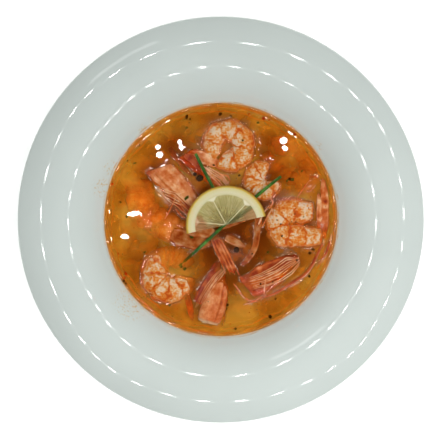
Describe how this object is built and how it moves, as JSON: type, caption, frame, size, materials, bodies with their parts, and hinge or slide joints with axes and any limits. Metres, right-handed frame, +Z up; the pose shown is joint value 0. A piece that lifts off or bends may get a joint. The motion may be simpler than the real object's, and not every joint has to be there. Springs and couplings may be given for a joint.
{
  "type": "tom yum soup",
  "caption": "Tom yum soup in a wide-rimmed porcelain soup plate: amber broth with curled prawns, prawn heads in the shell, a half slice of lemon and chives.",
  "frame": {"origin": "centre of the plate's foot ring, on the surface it stands on", "axes": "+Z up along the plate's axis; +X to the right and +Y to the back, as the food lies"},
  "size_m": [0.2798, 0.2798, 0.0443],
  "materials": {
    "porcelain": "glossy white glaze with a cool grey-green cast",
    "broth": "clear amber to brown liquid with an orange oil film, glossy",
    "prawn_flesh": "cooked prawn, white with orange bands, wet",
    "prawn_shell": "cooked prawn shell, pink to orange-red, wet",
    "lemon": "pale pith, thin yellow rind, translucent pulp",
    "chive": "dark green, smooth and wet",
    "feeler": "orange-red, smooth and wet"
  },
  "bodies": {
    "root": {"plate": "porcelain", "broth": "broth", "prawn_top": "prawn_flesh", "prawn_middle": "prawn_flesh", "prawn_right": "prawn_flesh", "prawn_left": "prawn_flesh", "prawn_lower": "prawn_flesh", "head_upper": "prawn_shell", "head_behind": "prawn_shell", "head_lower": "prawn_shell", "head_right": "prawn_shell", "legs_middle": "prawn_shell", "shell_strip": "prawn_shell", "tail_blade": "prawn_shell", "lemon_slice": "lemon", "chive_long": "chive", "chive_short": "chive", "feeler": "feeler"}
  },
  "joints": []
}
